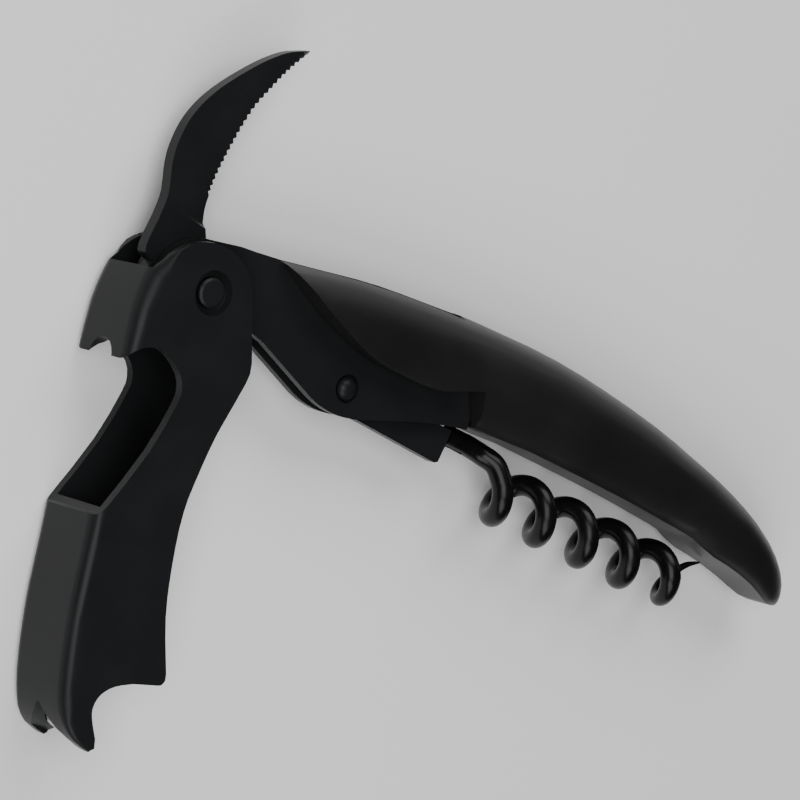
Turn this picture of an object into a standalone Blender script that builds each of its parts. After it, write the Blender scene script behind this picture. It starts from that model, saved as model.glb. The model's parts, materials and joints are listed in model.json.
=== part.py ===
"""Waiters corkscrew, lying on its side.

The object's own frame has its origin on the main pivot's axis, at mid thickness: +X runs along
the handle to its tip, +Y towards the handle's back and +Z across the thickness. All the shapes
below are drawn in that frame, in millimetres. The empty "pivot_frame" then lifts the object so
that it rests on the ground with the origin under the middle of its box.
"""
import math

import bmesh
import bpy
from mathutils import Matrix, Vector

# Driving dimensions, in millimetres.
MM = 0.001
GAP = 0.3                   # play between neighbouring pieces

LEVER_HALF = 5.8            # half the lever's outer width
LEVER_SHEET = 1.2
LEVER_FOLD = 76.0           # degrees from open to the edge of the handle's seat

KNIFE_HALF = 0.85           # half the blade's thickness
LINER_INNER = 1.15
LINER_OUTER = 2.35
POCKET_HALF = LINER_OUTER + GAP

GRIP_HALF = 5.8             # widest half thickness of the grip
SEAT_PLAY = 0.5             # play between the folded lever and its seat

PIVOT = (0.0, 0.0)
PIVOT_SHANK = 1.6
PIVOT_HEAD = 1.85
WORM_PIVOT = (26.4, -2.4)
WORM_SHANK = 1.0

WORM_PITCH = 8.3
WORM_RADIUS = 2.85          # from the helix axis to the wire's centre
WORM_WIRE = 1.4             # wire radius
WORM_AXIS_Y = -5.5
WORM_FIRST_TOP = 53.7       # where the helix would pass its highest point before turn one
WORM_TURNS = 4.75           # counted from the first top, to the start of the straight tip

# The pivot's place in the frame whose origin is under the middle of the box.
PIVOT_PLACE = (-50.85, 11.3, 5.8)

CLEAR = PIVOT_SHANK + GAP


# ---------------------------------------------------------------- outlines

def curve_through(points, steps=3):
    """Points of a smooth curve (Catmull-Rom) through the given ones, ends included."""
    ends = [points[0]] + list(points) + [points[-1]]
    result = []
    for i in range(1, len(ends) - 2):
        before, start, stop, after = (Vector(p) for p in ends[i - 1:i + 3])
        for step in range(steps):
            t = step / steps
            result.append(0.5 * (2 * start + (stop - before) * t
                                 + (2 * before - 5 * start + 4 * stop - after) * t * t
                                 + (3 * start - before - 3 * stop + after) * t ** 3))
    result.append(Vector(points[-1]))
    return [tuple(p) for p in result]


def arc(centre, radius, start, stop, steps):
    """Points of an arc, in degrees, both ends included."""
    angles = [math.radians(start + (stop - start) * i / steps) for i in range(steps + 1)]
    return [(centre[0] + radius * math.cos(a), centre[1] + radius * math.sin(a)) for a in angles]


def turned(points, degrees):
    """The points turned about the main pivot."""
    turn = Matrix.Rotation(math.radians(degrees), 2)
    return [tuple(turn @ Vector(p)) for p in points]


def pushed_out(points, distance):
    """An open outline moved to its left by a distance."""
    result = []
    for i, point in enumerate(points):
        before = Vector(points[max(i - 1, 0)])
        after = Vector(points[min(i + 1, len(points) - 1)])
        along = (after - before).normalized()
        result.append((point[0] - along.y * distance, point[1] + along.x * distance))
    return result


def value_at(curve, x):
    """Height of an outline, listed with x rising, at x."""
    for (x0, y0), (x1, y1) in zip(curve, curve[1:]):
        if x <= x1:
            return y0 + (y1 - y0) * (x - x0) / (x1 - x0)
    return curve[-1][1]


# ---------------------------------------------------------------- meshes

def add_object(name, mesh_data):
    mesh = bpy.data.meshes.new(name)
    bmesh.ops.recalc_face_normals(mesh_data, faces=mesh_data.faces[:])
    mesh_data.to_mesh(mesh)
    mesh_data.free()
    new = bpy.data.objects.new(name, mesh)
    bpy.context.scene.collection.objects.link(new)
    return new


def loft(name, rings):
    """A closed body through rings of equally many points, capped at both ends."""
    shape = bmesh.new()
    rows = [[shape.verts.new(Vector(p) * MM) for p in ring] for ring in rings]
    count = len(rows[0])
    for row, following in zip(rows, rows[1:]):
        for i in range(count):
            j = (i + 1) % count
            shape.faces.new((row[i], row[j], following[j], following[i]))
    shape.faces.new(rows[0][::-1])
    shape.faces.new(rows[-1])
    return add_object(name, shape)


def prism(name, outline, low, high):
    """An outline in the XY plane made solid between two heights."""
    return loft(name, [[(x, y, z) for x, y in outline] for z in (low, high)])


def turned_piece(name, centre, profile, sides=28):
    """A solid of revolution about Z from (radius, height) points, bottom to top."""
    rings = []
    for radius, height in profile:
        rings.append([(x, y, height) for x, y in arc(centre, radius, 0, 360, sides)[:-1]])
    return loft(name, rings)


def drum(name, centre, radius, low, high, sides=28):
    return turned_piece(name, centre, [(radius, low), (radius, high)], sides)


def boolean(target, tool, operation="DIFFERENCE", solver="EXACT"):
    """Cut the tool out of the target, or join it on. The lever's thin bends need MANIFOLD."""
    step = target.modifiers.new(tool.name, "BOOLEAN")
    step.operation = operation
    step.solver = solver
    step.object = tool
    tool.hide_render = True
    tool.display_type = "WIRE"


def bore(target, centre, radius, sides=28, solver="EXACT"):
    """A round hole right through the target, along Z."""
    reach = LEVER_HALF + 2
    cutter = drum(target.name + "_bore_cutter", centre, radius, -reach, reach, sides)
    boolean(target, cutter, solver=solver)


def finish(piece, body, colour, roughness, metallic, smooth=True):
    """Give the piece its material and hang it on its body's empty."""
    material = bpy.data.materials.new(piece.name)
    material.use_nodes = True
    shader = material.node_tree.nodes["Principled BSDF"]
    shader.inputs["Base Color"].default_value = (*colour, 1)
    shader.inputs["Roughness"].default_value = roughness
    shader.inputs["Metallic"].default_value = metallic
    piece.data.materials.append(material)
    if smooth:
        piece.data.shade_smooth()
        piece.data.set_sharp_from_angle(angle=math.radians(35))
    hang(piece, body)
    for step in piece.modifiers:
        if step.type == "BOOLEAN":
            hang(step.object, body)


def hang(piece, body):
    """Parent a piece drawn in the object's frame to an empty without moving it there."""
    piece.parent = body
    piece.matrix_parent_inverse = Matrix.Translation(body.location).inverted()
    if body.parent is None:
        piece.matrix_parent_inverse = Matrix.Identity(4)


BLACK_COAT = dict(colour=(0.018, 0.019, 0.021), roughness=0.42, metallic=0.5)
BLACK_WIRE = dict(colour=(0.014, 0.014, 0.015), roughness=0.3, metallic=0.4)
BLACK_GRIP = dict(colour=(0.02, 0.02, 0.022), roughness=0.48, metallic=0.1)
STEEL = dict(colour=(0.42, 0.42, 0.43), roughness=0.35, metallic=1.0)


# ---------------------------------------------------------------- lever

CROWN_CENTRE = (-0.9, -1.7)
CROWN_RADIUS = 7.25


def lever_free_edge():
    """The cheek's edge from the top of the bridge over the pivot and down to the toe."""
    crown = arc(CROWN_CENTRE, CROWN_RADIUS, 125, 36, 8)
    front = curve_through([(8.2, -3.9), (9.3, -6.6), (8.8, -10.7), (8.1, -15.1), (7.8, -20.0),
                           (7.9, -25.0), (9.2, -31.0), (11.2, -37.0), (14.4, -43.2)])
    heel = curve_through([(14.6, -43.9), (14.3, -44.6), (13.4, -44.9)], 2)
    lifter = curve_through([(10.4, -45.7), (8.1, -46.8), (6.7, -48.2), (6.3, -49.7), (6.7, -51.1),
                            (8.3, -53.3)])
    return crown + front + heel + lifter + [(8.7, -54.4)]


def lever_spine():
    """The bent edge from the toe up to the top of the bridge, with its bend radii."""
    lower = curve_through([(8.2, -55.0), (5.8, -54.4), (3.8, -53.0), (2.2, -50.7), (0.9, -47.5),
                           (-0.4, -43.5), (-1.5, -39.3), (-2.8, -33.0), (-3.6, -29.6)], 2)
    upper = curve_through([(-5.4, -22.0), (-7.2, -14.0), (-8.2, -9.0), (-8.8, -5.5), (-8.9, -2.6),
                           (-8.7, -0.4)], 2)
    return lower + upper + arc(CROWN_CENTRE, CROWN_RADIUS, 160, 132, 3)


def bend_radius(y):
    """Wide at the bridge's top, even along the spine, and sharp at the toe and the crown."""
    toe = min(0.0, 0.35 * (y + 51.5))
    crown = min(0.0, -0.6 * (y + 0.4))
    bridge = 0.5 * max(0.0, min(1.0, (y + 12) / 10))
    return max(0.1, 1.6 + toe + crown + bridge)


def lever_body():
    edge = lever_free_edge()
    spine = lever_spine()
    bend_steps = 5
    outer = []
    angles = [math.radians(90 * (1 - i / bend_steps)) for i in range(bend_steps + 1)]
    layers = [(-1, a) for a in angles] + [(1, a) for a in reversed(angles)]
    inwards = [Vector(q) - Vector(p) for p, q in zip(spine, pushed_out(spine, -1))]
    for side, angle in layers:
        ring = [(x, y, side * (LEVER_HALF - 2 * (1 - math.sin(angle)))) for x, y in edge]
        for (x, y), inward in zip(spine, inwards):
            radius = bend_radius(y)
            depth = radius * (1 - math.cos(angle))
            height = side * (LEVER_HALF - radius * (1 - math.sin(angle)))
            ring.append((x + inward.x * depth, y + inward.y * depth, height))
        outer.append(ring)
    return loft("lever", outer)


def lever_channel():
    """The space between the cheeks, open on the free edge's side."""
    spine = [p for p in pushed_out(lever_spine(), -LEVER_SHEET) if p[1] < 0]
    inside = LEVER_HALF - LEVER_SHEET
    top = [(spine[-1][0], 12.0), (22.0, 12.0), (22.0, -62.0), (spine[0][0] + 1.0, -62.0)]
    return prism("lever_channel_cutter", spine + top, -inside, inside)


def lever_window():
    """Side view of the opening between the two ends of the spine."""
    outline = curve_through([(-8.0, -12.2), (-7.1, -10.3), (-5.8, -9.2), (-3.9, -8.7), (-2.0, -9.2),
                             (0.0, -10.4), (1.0, -11.9), (1.1, -14.0), (0.0, -20.2), (-2.6, -28.0),
                             (-3.4, -29.3), (-4.3, -29.8)], 2)
    return prism("lever_window_cutter", outline + [(-12.0, -29.8), (-12.0, -12.3)], -8, 8)


def bridge_top():
    """Squares off the upper end of the spine."""
    corner = [(-12.0, -0.4), (-6.6, -0.4), (-6.6, 3.0), (-12.0, 3.0)]
    inside = LEVER_HALF - LEVER_SHEET - 0.1
    return prism("lever_bridge_cutter", corner, -inside, inside)


def notch_cutter(name, outline, low, high):
    """A prism along X from an outline of (y, z) points."""
    return loft(name, [[(x, y, z) for y, z in outline] for x in (low, high)])


def make_lever(body):
    lever = lever_body()
    fork = [(-14.0, 2.4)] + [(y, z) for z, y in arc((0, -11.9), 2.4, 0, 180, 10)] + [(-14.0, -2.4)]
    half = [(-51.6, 0.2), (-52.6, 1.2), (-53.7, 2.6), (-54.4, 4.0), (-60.0, 4.4)]
    vee = half + [(y, -z) for y, z in reversed(half)]
    for cutter in (lever_channel(), lever_window(), bridge_top(),
                   notch_cutter("lever_fork_cutter", fork, -11, -5),
                   notch_cutter("lever_toe_cutter", vee, -2, 12)):
        boolean(lever, cutter, solver="MANIFOLD")
    inside = LEVER_HALF - LEVER_SHEET
    for side, label in ((1, "near"), (-1, "far")):
        boss = turned_piece("lever_%s_boss" % label, PIVOT,
                            [(3.9, side * (inside + 0.4)), (3.4, side * 3.9)])
        dimple = turned_piece("lever_%s_dimple_cutter" % label, PIVOT,
                              [(2.45, side * 4.9), (2.75, side * (LEVER_HALF + 0.1))])
        boolean(lever, boss, "UNION", "MANIFOLD")
        boolean(lever, dimple, solver="MANIFOLD")
    bore(lever, PIVOT, CLEAR, solver="MANIFOLD")
    finish(lever, body, **BLACK_COAT)


# ---------------------------------------------------------------- handle

GRIP_BACK = curve_through([(9.0, 8.0), (12.8, 8.8), (21.5, 10.55), (28.5, 11.6), (37.1, 12.5),
                           (46.2, 13.1), (55.6, 13.5), (65.0, 13.2), (76.5, 12.2), (85.1, 10.8),
                           (94.2, 9.0), (100.8, 6.9), (106.0, 4.4), (109.0, 2.1), (111.2, -0.8)])
GRIP_BASE = curve_through([(9.0, 0.0), (46.6, 0.3), (55.9, 0.85), (69.5, 1.0), (76.7, 1.0),
                           (84.0, 0.8), (90.0, 0.5), (92.0, -0.3), (98.0, -0.7), (103.4, -1.5),
                           (107.8, -2.6), (111.2, -2.3)])


def grip_section(x):
    """An oval section with a flat underside."""
    top = value_at(GRIP_BACK, x)
    bottom = value_at(GRIP_BASE, x)
    nose = max(0.0, (x - 92) / 19.4)
    half = GRIP_HALF * math.sqrt(1 - nose ** 3.2)
    flat = (3.9 + 0.4 * max(0.0, min(1.0, (x - 89) / 3))) * half / GRIP_HALF
    middle = bottom + 0.42 * (top - bottom)
    side = []
    for i in range(4):
        t = i / 4
        side.append((flat + (half - flat) * math.sin(t * math.pi / 2),
                     bottom + (middle - bottom) * (0.06 + 0.94 * t ** 1.3)))
    side[0] = (flat, bottom + 0.05 * (top - bottom))
    for i in range(8):
        a = math.radians(90 * i / 8)
        side.append((half * math.cos(a) ** 0.85, middle + (top - middle) * math.sin(a) ** 0.9))
    right = [(flat - 0.4, bottom)] + side
    left = [(-z, y) for z, y in reversed(right)]
    return [(x, y, z) for z, y in right + [(0.0, top)] + left]


def lever_seat(side):
    """The recess that the folded lever's cheek lies in, with a slanted end wall."""
    cheek = [p for p in turned(lever_free_edge(), LEVER_FOLD) if 6 < p[0] < 39.5]
    edge = pushed_out(cheek, SEAT_PLAY)
    end_wall = [(44.4, 4.7), (46.9, 0.3)]
    outline = [(2.0, 8.0)] + edge + [(42.0, 3.8)] + end_wall + [(47.0, -4.0), (2.0, -4.0)]
    floor, top = side * LINER_OUTER, side * (GRIP_HALF + 1)
    low = [(x, y, floor) for x, y in outline]
    return loft("seat_cutter_%s" % ("near" if side > 0 else "far"),
                [low, [(x, y, top) for x, y in outline]])


def make_grip(body):
    stations = [9.0, 12.8, 17, 22, 27, 32, 37, 42, 47, 52, 57, 62, 67, 72, 77, 81, 85, 88, 89.5,
                91, 94, 97, 100, 103, 105.5, 107.5, 109, 110, 110.6, 111]
    grip = loft("grip", [grip_section(x) for x in stations])
    pocket = [(6, -8), (6, 20), (39.5, 20), (39.5, 12.2), (40.4, 10.9), (55, 10.8), (69, 10.2),
              (70.5, 8.8), (70.5, 4.8), (69, 3.4), (47.0, 2.6), (47.0, -8)]
    boolean(grip, prism("grip_pocket_cutter", pocket, -POCKET_HALF, POCKET_HALF))
    for side in (1, -1):
        boolean(grip, lever_seat(side))
    finish(grip, body, **BLACK_GRIP)


def liner_outline():
    crown = arc(PIVOT, 6.1, 262, 104, 14)
    back = curve_through([(3.7, 7.05), (9.8, 7.9), (21.5, 10.2), (28.5, 11.2), (38.9, 12.3)], 2)
    inside = [(40.0, 10.4), (55.0, 10.4), (68.6, 9.8), (70.1, 8.5), (70.1, 5.1), (68.7, 3.8),
              (46.6, 3.0)]
    lower = curve_through([(46.6, -0.2), (45.5, -0.4), (41.6, -1.3), (38.2, -2.3), (33.0, -4.1),
                           (29.3, -5.4), (26.5, -5.9), (24.2, -5.9), (21.6, -5.4), (15.2, -3.2),
                           (9.0, -1.5), (4.5, -3.6)], 2)
    return crown + back + inside + lower


STOP_PIN = (-3.4, -4.3)
SPRING_PINS = {"front": (44.0, 6.4), "rear": (63.0, 7.0)}
PIN_RADIUS = 0.9


def make_liner(label, side, body):
    faces = sorted((side * LINER_INNER, side * LINER_OUTER))
    liner = prism("%s_liner" % label, liner_outline(), *faces)
    bore(liner, PIVOT, CLEAR)
    for place in [STOP_PIN] + list(SPRING_PINS.values()):
        hole = drum("%s_liner_hole_cutter" % label, place, PIN_RADIUS + GAP, -4, 4, 16)
        boolean(liner, hole)
    counterbore = turned_piece("%s_liner_counterbore" % label, WORM_PIVOT,
                               [(WORM_SHANK + GAP, side * 0.5), (WORM_SHANK + GAP, side * 1.75),
                                (1.8, side * 1.75), (1.8, side * 3.0)], 24)
    boolean(liner, counterbore)
    finish(liner, body, smooth=False, **BLACK_COAT)


def make_rivets(body):
    head = LEVER_HALF - 0.1
    profile = [(1.5, -head), (PIVOT_HEAD, -head + 0.25), (PIVOT_HEAD, -5.2), (PIVOT_SHANK, -5.2)]
    profile += [(radius, -height) for radius, height in reversed(profile)]
    finish(turned_piece("pivot_rivet", PIVOT, profile), body, **BLACK_COAT)

    dome = [(1.5 * math.cos(a), 2.05 + 1.0 * math.sin(a))
            for a in (math.radians(15 * i) for i in range(6))]
    upper = [(WORM_SHANK, 2.05)] + dome
    worm_profile = [(radius, -height) for radius, height in reversed(upper)] + upper
    finish(turned_piece("worm_rivet", WORM_PIVOT, worm_profile, 24), body, **BLACK_COAT)

    reach = LINER_OUTER - 0.05
    places = [("knife_stop_pin", STOP_PIN)]
    places += [("spring_pin_%s" % label, place) for label, place in SPRING_PINS.items()]
    for name, place in places:
        finish(drum(name, place, PIN_RADIUS, -reach, reach, 16), body, **STEEL)

    for label, side in (("near", 1), ("far", -1)):
        faces = sorted((side * (LINER_OUTER + GAP), side * 3.6))
        washer = drum("%s_pivot_washer" % label, PIVOT, 3.4, *faces)
        bore(washer, PIVOT, CLEAR)
        finish(washer, body, **STEEL)


def make_spring(body):
    """The bar between the liners, with a leaf that presses on the worm bracket's foot."""
    outline = [(69.6, 5.4), (69.6, 8.4), (68.0, 9.4), (42.5, 9.9), (40.2, 8.6)]
    outline += curve_through([(39.4, 6.4), (37.4, 3.6), (34.2, 2.2), (30.4, 1.8)], 3)
    outline += curve_through([(30.4, 1.0), (34.4, 1.3), (38.4, 2.6), (41.6, 3.6), (46.0, 3.9)], 3)
    spring = prism("back_spring", outline, -KNIFE_HALF, KNIFE_HALF)
    for label, place in SPRING_PINS.items():
        boolean(spring, drum("spring_hole_cutter_%s" % label, place, PIN_RADIUS + GAP, -4, 4, 16))
    finish(spring, body, smooth=False, **STEEL)


# ---------------------------------------------------------------- knife

KNIFE_SPINE = curve_through([(-7.8, 5.6), (-7.8, 8.4), (-8.3, 10.3), (-9.0, 12.4), (-9.3, 14.6),
                             (-9.1, 17.4), (-8.3, 20.0), (-6.9, 22.6), (-5.0, 25.2), (-2.8, 27.8),
                             (-1.0, 29.6), (0.9, 31.1), (3.5, 32.4)], 6)
KNIFE_EDGE = curve_through([(-0.4, 5.6), (-1.2, 7.5), (-1.8, 9.4), (-2.0, 11.4), (-2.0, 13.6),
                            (-1.8, 16.0), (-1.5, 18.4), (-1.1, 20.9), (-0.5, 23.4), (0.5, 25.8),
                            (1.5, 28.1), (2.6, 30.2), (3.7, 32.2)], 6)


def knife_blade_body():
    """Wedge sections from the plunge line to the tip, with the serrations on the edge."""
    first_tooth, teeth, depth = 17, 19, 0.32
    rings = []
    last = len(KNIFE_SPINE) - 1
    for i, (back, edge) in enumerate(zip(KNIFE_SPINE, KNIFE_EDGE)):
        back, edge = Vector(back), Vector(edge)
        width = (back - edge).length
        if i >= first_tooth:
            phase = (i - first_tooth) * 0.5 % 1
            edge = edge + (back - edge).normalized() * depth * (phase > 0) * min(1, width / 2)
        ground = max(0.0, min(1.0, (i - 5) / 1.5))
        land = back.lerp(edge, 0.10 if i < last else 0.4)
        half = KNIFE_HALF * (1 if i < last else 0.4)
        thin = KNIFE_HALF + (0.15 - KNIFE_HALF) * ground
        rings.append([(back.x, back.y, half), (land.x, land.y, half), (edge.x, edge.y, thin),
                      (edge.x, edge.y, -thin), (land.x, land.y, -half), (back.x, back.y, -half)])
    return loft("knife_blade", rings)


def knife_tang():
    """The tang's outline round the pivot, with the kick that meets the stop pin."""
    heel = curve_through([(-1.1, 7.2), (0.4, 5.0), (3.3, 2.6)], 2)
    round_end = arc(PIVOT, 3.9, 35, -120, 10)
    kick = [(-2.9, -2.7), (-4.9, -3.1), (-6.3, -1.5), (-6.8, -0.4), (-6.6, 0.4)]
    back = curve_through([(-6.3, 0.9), (-7.5, 1.2), (-8.0, 2.2), (-7.9, 4.6), (-7.6, 7.2)], 2)
    return heel + round_end + kick + back


def make_knife(body):
    knife = knife_blade_body()
    boolean(knife, prism("knife_tang_body", knife_tang(), -KNIFE_HALF, KNIFE_HALF), "UNION")
    bore(knife, PIVOT, CLEAR)
    finish(knife, body, smooth=False, **BLACK_COAT)


# ---------------------------------------------------------------- worm

BRACKET_END = 45.6
TONGUE_END = 49.0


def make_bracket(body):
    """A flat arm from its round foot on the rivet to the tongue that holds the worm's shank."""
    foot = arc(WORM_PIVOT, 3.0, 70, 250, 10)
    lower = curve_through([(28.0, -5.2), (31.0, -5.15), (38.0, -5.35), (44.9, -5.55)], 2)
    end = [(45.4, -5.25), (45.5, -3.6), (BRACKET_END, -3.0), (BRACKET_END, -2.4)]
    upper = curve_through([(BRACKET_END, -0.9), (38.0, -1.0), (32.0, -0.9), (28.6, -0.2)], 2)
    arm = prism("worm_bracket", foot + lower + end + upper, -KNIFE_HALF, KNIFE_HALF)
    tongue = [(BRACKET_END - 1, -2.4), (TONGUE_END, -2.4), (TONGUE_END, -0.9), (BRACKET_END - 1, -0.9)]
    boolean(arm, prism("bracket_tongue", tongue, -0.4, 0.4), "UNION")
    bore(arm, WORM_PIVOT, WORM_SHANK + GAP, 24)
    finish(arm, body, smooth=False, **BLACK_COAT)


def worm_route():
    """Centres and radii of the wire: shank, lead into the helix, turns and tapered tip."""
    shank = [(BRACKET_END + GAP, -1.6, 0.0), (49.4, -1.6, 0.0)]
    lead = [(51.8, -1.85, 0.4), (53.8, -2.5, 1.7)]
    route = [(p, WORM_WIRE) for p in shank + lead]
    steps = 16
    for i in range(3, round(WORM_TURNS * steps) + 1):
        turn = i / steps
        angle = 2 * math.pi * turn
        taper = max(0.0, (turn - WORM_TURNS + 0.5) / 0.5)
        centre = (WORM_FIRST_TOP + WORM_PITCH * turn,
                  WORM_AXIS_Y + WORM_RADIUS * math.cos(angle),
                  WORM_RADIUS * math.sin(angle))
        route.append((centre, WORM_WIRE * (1 - 0.6 * taper)))
    route += [((95.2, -2.5, -2.0), 0.45), ((97.0, -1.2, -1.2), 0.15)]
    return route


def make_worm(body):
    route = worm_route()
    rings = []
    sides = 10
    across = Vector((0, 0, 1))
    for i, (centre, radius) in enumerate(route):
        before = Vector(route[max(i - 1, 0)][0])
        after = Vector(route[min(i + 1, len(route) - 1)][0])
        along = (after - before).normalized()
        across = (across - along * across.dot(along)).normalized()
        up = along.cross(across)
        ring = []
        for k in range(sides):
            angle = 2 * math.pi * k / sides
            ring.append(Vector(centre) + radius * (math.cos(angle) * across + math.sin(angle) * up))
        rings.append(ring)
    worm = loft("worm", rings)
    slot = [(BRACKET_END - 2, -5), (TONGUE_END + GAP, -5), (TONGUE_END + GAP, 2), (BRACKET_END - 2, 2)]
    boolean(worm, prism("worm_slot_cutter", slot, -0.7, 0.7))
    finish(worm, body, **BLACK_WIRE)


# ---------------------------------------------------------------- assembly

def add_empty(name, parent, place):
    """An empty on a joint's axis, placed in the object's frame."""
    empty = bpy.data.objects.new(name, None)
    empty.empty_display_size = 5 * MM
    bpy.context.scene.collection.objects.link(empty)
    empty.parent = parent
    empty.location = Vector(place) * MM
    return empty


def main():
    for old in list(bpy.data.objects):
        bpy.data.objects.remove(old)
    handle = add_empty("pivot_frame", None, PIVOT_PLACE)
    lever = add_empty("lever_axis", handle, (*PIVOT, 0))
    knife = add_empty("knife_axis", handle, (*PIVOT, 0))
    worm = add_empty("worm_axis", handle, (*WORM_PIVOT, 0))
    make_grip(handle)
    make_liner("near", 1, handle)
    make_liner("far", -1, handle)
    make_rivets(handle)
    make_spring(handle)
    make_lever(lever)
    make_knife(knife)
    make_bracket(worm)
    make_worm(worm)


main()
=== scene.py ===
"""The looks of the waiters corkscrew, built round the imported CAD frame."""
import json
import math

import bmesh
import bpy
from mathutils import Matrix, Vector


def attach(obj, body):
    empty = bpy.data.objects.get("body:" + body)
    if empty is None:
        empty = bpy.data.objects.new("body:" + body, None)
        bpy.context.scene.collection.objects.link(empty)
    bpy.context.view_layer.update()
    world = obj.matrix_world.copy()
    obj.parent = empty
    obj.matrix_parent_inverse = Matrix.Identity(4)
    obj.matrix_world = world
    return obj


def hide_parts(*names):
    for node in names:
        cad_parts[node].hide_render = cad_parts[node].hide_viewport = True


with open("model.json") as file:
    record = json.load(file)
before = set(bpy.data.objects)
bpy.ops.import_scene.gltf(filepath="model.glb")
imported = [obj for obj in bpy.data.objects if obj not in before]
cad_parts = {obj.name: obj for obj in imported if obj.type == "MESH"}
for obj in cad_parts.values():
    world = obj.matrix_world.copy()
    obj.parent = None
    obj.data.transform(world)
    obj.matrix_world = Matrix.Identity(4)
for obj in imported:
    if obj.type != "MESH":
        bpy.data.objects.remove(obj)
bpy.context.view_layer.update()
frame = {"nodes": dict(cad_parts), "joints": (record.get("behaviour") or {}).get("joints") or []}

MM = 0.001
HINGES = {joint["name"]: Vector(joint["pos_m"]) for joint in frame["joints"]}
PIVOT = HINGES["lever_hinge"]          # the main rivet's axis, at mid thickness
MERGE_WITHIN = 2e-6                    # metres between points that are one point
FLAT_WITHIN = math.radians(0.6)        # between facets that are one flat face


# ---------------------------------------------------------------- shapes

def curve_through(points, steps):
    """Points of a smooth curve (Catmull-Rom) through the given ones, ends included."""
    ends = [points[0]] + list(points) + [points[-1]]
    result = []
    for i in range(1, len(ends) - 2):
        before, start, stop, after = (Vector(p) for p in ends[i - 1:i + 3])
        for step in range(steps):
            t = step / steps
            result.append(0.5 * (2 * start + (stop - before) * t
                                 + (2 * before - 5 * start + 4 * stop - after) * t * t
                                 + (3 * start - before - 3 * stop + after) * t ** 3))
    result.append(Vector(points[-1]))
    return [tuple(p) for p in result]


def link_mesh(name, shape):
    """A new object in the scene from a bmesh, which is freed."""
    mesh = bpy.data.meshes.new(name)
    shape.to_mesh(mesh)
    shape.free()
    piece = bpy.data.objects.new(name, mesh)
    bpy.context.scene.collection.objects.link(piece)
    return piece


def add_object(name, shape):
    """A new object from a bmesh drawn in millimetres round the pivot."""
    bmesh.ops.recalc_face_normals(shape, faces=shape.faces[:])
    bmesh.ops.scale(shape, vec=(MM, MM, MM), verts=shape.verts[:])
    bmesh.ops.translate(shape, vec=PIVOT, verts=shape.verts[:])
    return link_mesh(name, shape)


def cutter_block(x_limits, y_limits, z_limits):
    """A block between pairs of limits, in millimetres from the pivot."""
    (x0, x1), (y0, y1) = x_limits, y_limits
    outline = [(x0, y0), (x1, y0), (x1, y1), (x0, y1)]
    shape = bmesh.new()
    corners = [[shape.verts.new((x, y, z)) for x, y in outline] for z in z_limits]
    shape.faces.new(corners[0])
    shape.faces.new(corners[1])
    for i in range(4):
        j = (i + 1) % 4
        shape.faces.new((corners[0][i], corners[0][j], corners[1][j], corners[1][i]))
    return add_object("cutter", shape)


def cut(piece, tool):
    """Cuts the tool's shape out of the piece for good."""
    step = piece.modifiers.new("cut", "BOOLEAN")
    step.object = tool
    step.solver = "EXACT"
    view = bpy.context.evaluated_depsgraph_get()
    result = bpy.data.meshes.new_from_object(piece.evaluated_get(view))
    piece.modifiers.remove(step)
    piece.data = result
    bpy.data.objects.remove(tool)


def copy_of(node, name):
    """A new piece with the CAD node's own shape, its flat faces made whole again."""
    shape = bmesh.new()
    shape.from_mesh(frame["nodes"][node].data)
    bmesh.ops.remove_doubles(shape, verts=shape.verts[:], dist=MERGE_WITHIN)
    bmesh.ops.dissolve_limit(shape, angle_limit=FLAT_WITHIN, verts=shape.verts[:],
                             edges=shape.edges[:])
    return link_mesh(name, shape)


def soften_edges(piece, width, segments=2, angle=32):
    """A small round on every hard edge, as tumbling and coating leave it.

    The width is in millimetres, and an edge is hard from the angle up, in degrees.
    """
    piece.data.shade_smooth()
    bevel = piece.modifiers.new("edge_round", "BEVEL")
    bevel.width = width * MM
    bevel.segments = segments
    bevel.limit_method = "ANGLE"
    bevel.angle_limit = math.radians(angle)
    bevel.use_clamp_overlap = True
    bevel.miter_outer = "MITER_ARC"
    flat_first = piece.modifiers.new("flat_faces_first", "WEIGHTED_NORMAL")
    flat_first.weight = 100            # large faces keep their own normals
    flat_first.keep_sharp = True


def dress(piece, body, material, node):
    """Gives a piece its material and slot and its body, and hides the CAD node that it stands for.
    """
    piece.data.materials.clear()
    piece.data.materials.append(material)
    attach(piece, body)
    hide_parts(node)


# ---------------------------------------------------------------- materials

NOISE_LOW, NOISE_HIGH = 0.3, 0.7       # the part of the noise's range that is used


def principled(name, colour, roughness, metallic=0.0, specular=0.5):
    """A material and its shader, before anything is linked to it."""
    material = bpy.data.materials.new(name)
    material.use_nodes = True
    shader = material.node_tree.nodes["Principled BSDF"]
    shader.inputs["Base Color"].default_value = (*colour, 1)
    shader.inputs["Roughness"].default_value = roughness
    shader.inputs["Metallic"].default_value = metallic
    shader.inputs["Specular IOR Level"].default_value = specular
    return material, shader


def add_noise(tree, scale, detail, stretch=None):
    """A noise value over the piece's own coordinates, stretched along them if asked."""
    noise = tree.nodes.new("ShaderNodeTexNoise")
    noise.inputs["Scale"].default_value = scale
    noise.inputs["Detail"].default_value = detail
    place = tree.nodes.new("ShaderNodeTexCoord")
    source = place.outputs["Object"]
    if stretch:
        mapping = tree.nodes.new("ShaderNodeMapping")
        mapping.inputs["Scale"].default_value = stretch
        tree.links.new(source, mapping.inputs["Vector"])
        source = mapping.outputs["Vector"]
    tree.links.new(source, noise.inputs["Vector"])
    return noise.outputs["Fac"]


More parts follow.
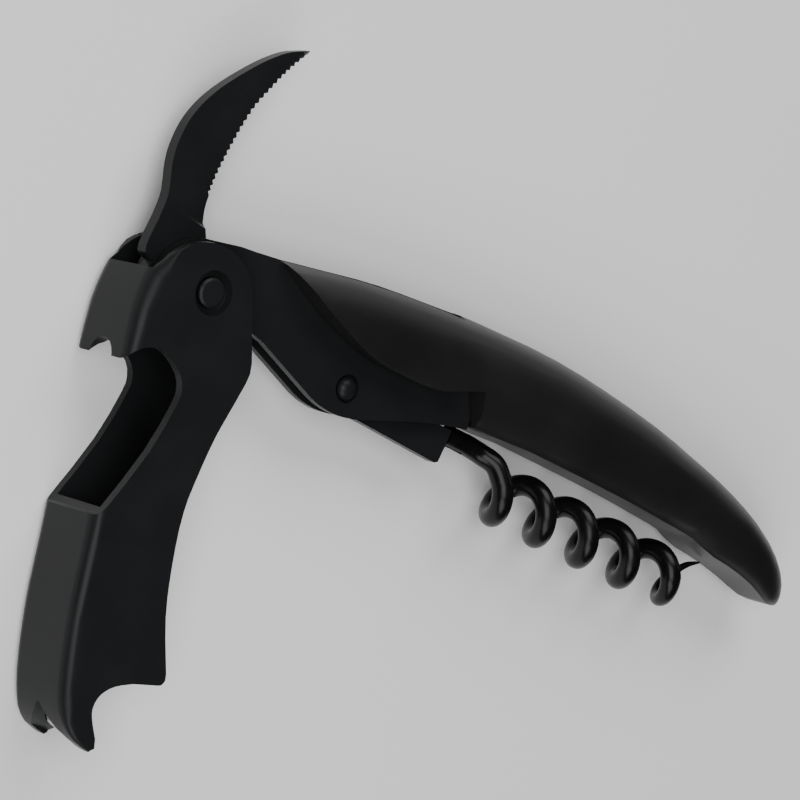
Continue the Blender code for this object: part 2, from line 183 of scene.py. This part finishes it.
def ramp_between(tree, source, low, high):
    """A colour that drifts between two values with the source."""
    ramp = tree.nodes.new("ShaderNodeValToRGB")
    ramp.color_ramp.elements[0].position = NOISE_LOW
    ramp.color_ramp.elements[1].position = NOISE_HIGH
    ramp.color_ramp.elements[0].color = (*low, 1)
    ramp.color_ramp.elements[1].color = (*high, 1)
    tree.links.new(source, ramp.inputs["Fac"])
    return ramp.outputs["Color"]


def range_between(tree, source, low, high):
    """A number that drifts between two values with the source."""
    spread = tree.nodes.new("ShaderNodeMapRange")
    spread.inputs["From Min"].default_value = NOISE_LOW
    spread.inputs["From Max"].default_value = NOISE_HIGH
    spread.inputs["To Min"].default_value = low
    spread.inputs["To Max"].default_value = high
    tree.links.new(source, spread.inputs["Value"])
    return spread.outputs["Result"]


def add_bump(tree, source, strength, depth):
    """Relief from the source, with its depth in millimetres."""
    bump = tree.nodes.new("ShaderNodeBump")
    bump.inputs["Strength"].default_value = strength
    bump.inputs["Distance"].default_value = depth * MM
    tree.links.new(source, bump.inputs["Height"])
    return bump.outputs["Normal"]


def coated_steel():
    """Fine satin powder coat: a barely grained black with a cloudy sheen."""
    material, shader = principled("satin_black_coat", (0.0120, 0.0126, 0.0134), 0.36,
                                  specular=0.16)
    tree = material.node_tree
    cloud = add_noise(tree, 160, 3)
    grain = add_noise(tree, 9000, 2)
    tree.links.new(ramp_between(tree, cloud, (0.0108, 0.0114, 0.0122), (0.0132, 0.0138, 0.0146)),
                   shader.inputs["Base Color"])
    tree.links.new(range_between(tree, cloud, 0.33, 0.39), shader.inputs["Roughness"])
    tree.links.new(add_bump(tree, grain, 0.10, 0.02), shader.inputs["Normal"])
    return material


def moulded_grip():
    """Soft satin moulding with a fine sparked texture."""
    material, shader = principled("satin_black_grip", (0.0080, 0.0080, 0.0083), 0.40,
                                  specular=0.5)
    tree = material.node_tree
    cloud = add_noise(tree, 90, 4)
    grain = add_noise(tree, 5200, 3)
    tree.links.new(ramp_between(tree, cloud, (0.0070, 0.0070, 0.0073), (0.0092, 0.0092, 0.0096)),
                   shader.inputs["Base Color"])
    tree.links.new(range_between(tree, cloud, 0.37, 0.44), shader.inputs["Roughness"])
    tree.links.new(add_bump(tree, grain, 0.16, 0.03), shader.inputs["Normal"])
    return material


def slick_wire():
    """Non-stick coating on the worm: glossier, with a faint grain."""
    material, shader = principled("slick_black_wire", (0.0035, 0.0035, 0.0037), 0.26,
                                  specular=0.25)
    tree = material.node_tree
    cloud = add_noise(tree, 420, 3)
    tree.links.new(ramp_between(tree, cloud, (0.0034, 0.0034, 0.0036), (0.0048, 0.0048, 0.0050)),
                   shader.inputs["Base Color"])
    tree.links.new(range_between(tree, cloud, 0.22, 0.32), shader.inputs["Roughness"])
    grain = add_noise(tree, 3000, 2)
    tree.links.new(add_bump(tree, grain, 0.08, 0.02), shader.inputs["Normal"])
    return material


def ground_steel():
    """Bare steel with fine grinding lines along X."""
    material, shader = principled("ground_steel", (0.42, 0.42, 0.43), 0.34, 1.0)
    tree = material.node_tree
    lines = add_noise(tree, 900, 4, stretch=(0.06, 1.0, 1.0))
    tree.links.new(ramp_between(tree, lines, (0.36, 0.36, 0.37), (0.47, 0.47, 0.48)),
                   shader.inputs["Base Color"])
    tree.links.new(range_between(tree, lines, 0.28, 0.42), shader.inputs["Roughness"])
    tree.links.new(add_bump(tree, lines, 0.2, 0.02), shader.inputs["Normal"])
    return material


COAT = coated_steel()
GRIP = moulded_grip()
WIRE = slick_wire()
STEEL = ground_steel()


# ---------------------------------------------------------------- worm

# Lengths are in millimetres, and places are measured from the main rivet's axis.
WORM_PITCH = 8.3
WORM_RADIUS = 2.85          # from the helix's axis to the middle of the wire
WORM_WIRE = 1.4             # the wire's own radius
WORM_SIDES = 24             # round the wire
WORM_AXIS_Y = -5.5
WORM_START_X = 53.7         # where the helix, run back to turn 0, is at its highest
FIRST_TURN = 0.1875         # where the lead joins the helix
LAST_TURN = 4.75
TAPER_TURNS = 0.5           # the wire thins over this much of the helix's end
TAPER = 0.6                 # and loses this much of its radius there
TURN_STEPS = 48
TIP = [((95.2, -2.5, -2.0), 0.45), ((97.0, -1.2, -1.2), 0.12)]   # centre and radius

BRACKET_END = 45.6
TONGUE_END = 49.0
TONGUE_HALF = 0.4           # half the tongue's thickness
SHANK_Y = -1.6
SLOT_Y = (-5, 2)            # past the shank on both sides
FIT = 0.06                  # play between the shank and each face of the tongue
LEAD = [(BRACKET_END + FIT, SHANK_Y, 0.0), (49.4, SHANK_Y, 0.0), (51.8, -1.85, 0.4),
        (53.8, -2.5, 1.7)]


def worm_route():
    """Centres and radii of the wire: lead into the helix, turns and tapered tip."""
    route = [(p, WORM_WIRE) for p in LEAD]
    for i in range(round(FIRST_TURN * TURN_STEPS), round(LAST_TURN * TURN_STEPS) + 1):
        turn = i / TURN_STEPS
        angle = 2 * math.pi * turn
        taper = max(0.0, (turn - LAST_TURN + TAPER_TURNS) / TAPER_TURNS)
        centre = (WORM_START_X + WORM_PITCH * turn,
                  WORM_AXIS_Y + WORM_RADIUS * math.cos(angle),
                  WORM_RADIUS * math.sin(angle))
        route.append((centre, WORM_WIRE * (1 - TAPER * taper)))
    return route + TIP


def make_worm():
    """The wire swept along its route, with the slot that holds the bracket's tongue."""
    route = [(*centre, radius) for centre, radius in worm_route()]
    head = len(LEAD) + 1                # the lead and the helix's first point
    foot = len(TIP) + 1                 # the helix's last point and the tip
    lead = curve_through(route[:head], 8)
    tail = curve_through(route[-foot:], 6)
    dense = lead + route[head:-foot] + tail
    shape = bmesh.new()
    rows = []
    across = Vector((0, 0, 1))
    for i, point in enumerate(dense):
        before = Vector(dense[max(i - 1, 0)][:3])
        after = Vector(dense[min(i + 1, len(dense) - 1)][:3])
        along = (after - before).normalized()
        across = (across - along * across.dot(along)).normalized()
        up = along.cross(across)
        row = []
        for k in range(WORM_SIDES):
            angle = 2 * math.pi * k / WORM_SIDES
            spoke = math.cos(angle) * across + math.sin(angle) * up
            row.append(shape.verts.new(Vector(point[:3]) + point[3] * spoke))
        rows.append(row)
    for row, following in zip(rows, rows[1:]):
        for k in range(WORM_SIDES):
            j = (k + 1) % WORM_SIDES
            shape.faces.new((row[k], row[j], following[j], following[k]))
    shape.faces.new(rows[0][::-1])
    shape.faces.new(rows[-1])
    worm = add_object("worm_wire", shape)
    slot = TONGUE_HALF + FIT
    cut(worm, cutter_block((BRACKET_END - 2, TONGUE_END + FIT), SLOT_Y, (-slot, slot)))
    worm.data.shade_smooth()
    worm.data.set_sharp_from_angle(angle=math.radians(60))
    return worm


# ---------------------------------------------------------------- pieces

# Edge rounds in millimetres.
LEVER_ROUND = 0.16
GRIP_ROUND = 0.15
PLATE_ROUND = 0.12          # the liners and the worm's bracket
RIVET_ROUND = 0.1
INNER_ROUND = 0.08          # springs, pins and washers
KNIFE_ROUND = 0.06


def make_pieces():
    """One finished piece for each CAD node."""
    lever = copy_of("lever", "lever_sheet")
    soften_edges(lever, LEVER_ROUND)
    dress(lever, "lever_body", COAT, "lever")

    for side in ("near", "far"):
        liner = copy_of("%s_liner" % side, "%s_liner_plate" % side)
        soften_edges(liner, PLATE_ROUND)
        dress(liner, "handle", COAT, "%s_liner" % side)
        washer = copy_of("%s_pivot_washer" % side, "%s_washer_ring" % side)
        soften_edges(washer, INNER_ROUND)
        dress(washer, "handle", STEEL, "%s_pivot_washer" % side)

    for node in ("pivot_rivet", "worm_rivet"):
        rivet = copy_of(node, "%s_head" % node)
        soften_edges(rivet, RIVET_ROUND, segments=3)
        dress(rivet, "handle", COAT, node)

    for node in ("back_spring", "spring_pin_front", "spring_pin_rear", "knife_stop_pin"):
        part = copy_of(node, "%s_steel" % node)
        soften_edges(part, INNER_ROUND)
        dress(part, "handle", STEEL, node)

    knife = copy_of("knife_blade", "knife_plate")
    soften_edges(knife, KNIFE_ROUND, angle=50)
    dress(knife, "knife_body", COAT, "knife_blade")

    bracket = copy_of("worm_bracket", "bracket_plate")
    soften_edges(bracket, PLATE_ROUND)
    dress(bracket, "worm_body", COAT, "worm_bracket")

    dress(make_worm(), "worm_body", WIRE, "worm")

    grip = copy_of("grip", "grip_moulding")
    soften_edges(grip, GRIP_ROUND)
    dress(grip, "handle", GRIP, "grip")


# ---------------------------------------------------------------- stage

FLOOR_SIZE = 3.0            # metres
LENS = 152.1                # focal length in millimetres, on a sensor SENSOR wide
SENSOR = 36
CAMERA_PLACE = (-227.1, -50.4, 327.1)           # in millimetres from the pivot
CAMERA_BACK = (-0.6233, -0.1184, 0.7730)        # from what it looks at towards the camera
CAMERA_RIGHT = (0.6959, 0.3669, 0.6173)         # the picture's right-hand direction


def make_floor():
    """A plain pale floor under the object."""
    shape = bmesh.new()
    bmesh.ops.create_grid(shape, x_segments=1, y_segments=1, size=FLOOR_SIZE / 2)
    floor = link_mesh("studio_floor", shape)
    material, shader = principled("pale_floor", (0.93, 0.93, 0.93), 0.9)
    floor.data.materials.append(material)


def add_softbox(name, direction, distance, size, power):
    """A rectangular white light that looks at the frame's origin from a direction.

    Distance and size are in metres, and power is in watts.
    """
    data = bpy.data.lights.new(name, "AREA")
    data.shape = "RECTANGLE"
    data.size, data.size_y = size
    data.energy = power
    lamp = bpy.data.objects.new(name, data)
    bpy.context.scene.collection.objects.link(lamp)
    towards = Vector(direction).normalized()
    lamp.location = towards * distance
    lamp.rotation_mode = "QUATERNION"
    lamp.rotation_quaternion = towards.to_track_quat("Z", "Y")


def make_lights():
    """Three large soft lights from above and a faint one low behind."""
    add_softbox("key_over_camera", (-0.5, -0.1, 0.86), 1.0, (0.7, 0.7), 6.0)
    add_softbox("key_back", (-0.2, 0.75, 0.6), 1.0, (0.8, 0.6), 5.5)
    add_softbox("key_below", (-0.2, -0.75, 0.62), 1.0, (0.8, 0.6), 5.0)
    add_softbox("rim_back", (0.55, 0.8, 0.25), 0.9, (0.7, 0.3), 0.4)
    world = bpy.data.worlds.new("studio")
    bpy.context.scene.world = world
    world.use_nodes = True
    background = world.node_tree.nodes["Background"]
    background.inputs["Color"].default_value = (1, 1, 1, 1)
    background.inputs["Strength"].default_value = 0.02


def make_camera():
    """A long lens, looking down at the object from beyond the lever's spine."""
    data = bpy.data.cameras.new("camera")
    data.sensor_width = SENSOR
    data.lens = LENS
    data.clip_start = 0.01
    data.clip_end = 20
    camera = bpy.data.objects.new("camera", data)
    bpy.context.scene.collection.objects.link(camera)
    back = Vector(CAMERA_BACK).normalized()
    right = Vector(CAMERA_RIGHT)
    right = (right - back * right.dot(back)).normalized()
    up = back.cross(right)
    place = PIVOT + Vector(CAMERA_PLACE) * MM
    camera.matrix_world = Matrix.Translation(place) @ Matrix((right, up, back)).transposed().to_4x4()
    bpy.context.scene.camera = camera


make_pieces()
make_floor()
make_lights()
make_camera()
